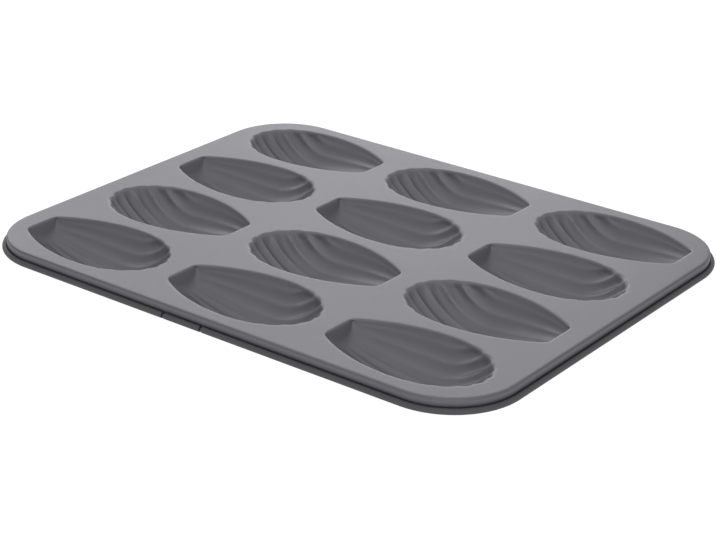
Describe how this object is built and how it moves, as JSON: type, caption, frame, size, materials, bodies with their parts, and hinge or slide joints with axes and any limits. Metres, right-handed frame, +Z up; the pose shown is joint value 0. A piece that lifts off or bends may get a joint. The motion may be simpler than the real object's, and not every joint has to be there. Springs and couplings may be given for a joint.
{
  "type": "madeleine pan",
  "caption": "Rectangular baking tray of coated steel sheet with fluted shell-shaped cups in alternating rows and a wired, rolled rim.",
  "frame": {"origin": "on the table under the middle of the pan, level with the flattened undersides of the cups", "axes": "+Z up, +X along the pan's long side, +Y from the front long edge to the back one"},
  "size_m": [0.2858, 0.2244, 0.0173],
  "materials": {
    "coated_steel": "satin cool grey non-stick coating over pressed steel sheet",
    "rim_wire": "drawn steel wire"
  },
  "bodies": {
    "root": {"pan_sheet": "coated_steel", "cup_r1c1": "coated_steel", "cup_r1c2": "coated_steel", "cup_r1c3": "coated_steel", "cup_r2c1": "coated_steel", "cup_r2c2": "coated_steel", "cup_r2c3": "coated_steel", "cup_r3c1": "coated_steel", "cup_r3c2": "coated_steel", "cup_r3c3": "coated_steel", "cup_r4c1": "coated_steel", "cup_r4c2": "coated_steel", "cup_r4c3": "coated_steel", "rim_wire": "rim_wire"}
  },
  "joints": []
}
